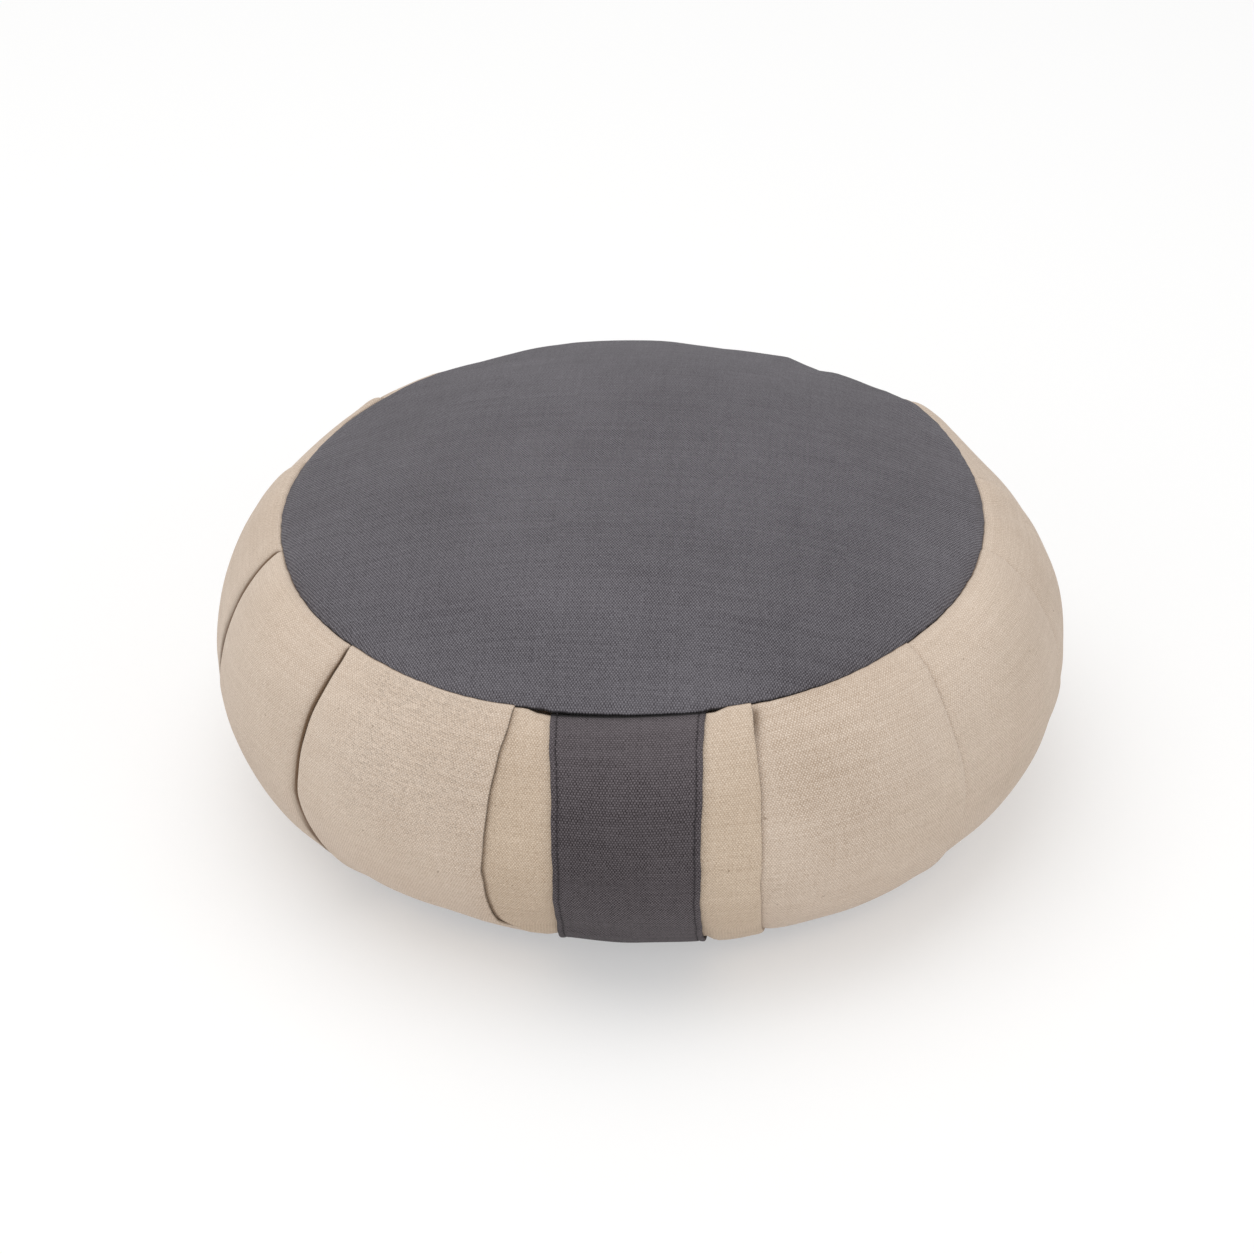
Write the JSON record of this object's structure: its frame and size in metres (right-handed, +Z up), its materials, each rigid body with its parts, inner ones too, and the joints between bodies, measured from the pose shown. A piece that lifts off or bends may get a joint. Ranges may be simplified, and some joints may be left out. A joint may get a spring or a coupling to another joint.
{
  "type": "meditation cushion",
  "caption": "Round filled floor cushion with a pleated canvas side band, plain round top and bottom panels and a flat carry strip sewn across the side, for sitting on.",
  "frame": {"origin": "centre of the underside, on the surface that the cushion rests on", "axes": "+Z up through the crown, -Y out of the side where the carry strip is, +X to the right seen from that side"},
  "size_m": [0.3615, 0.3608, 0.1481],
  "materials": {
    "cream_canvas": "matt undyed cotton canvas, plain weave",
    "grey_canvas": "matt grey cotton canvas, plain weave",
    "base_canvas": "matt grey cotton canvas, plain weave",
    "grey_strip": "matt warm grey cotton canvas, doubled and topstitched"
  },
  "bodies": {
    "root": {"pleated_body": "cream_canvas", "top_panel": "grey_canvas", "bottom_panel": "base_canvas", "handle_strip": "grey_strip"}
  },
  "joints": []
}
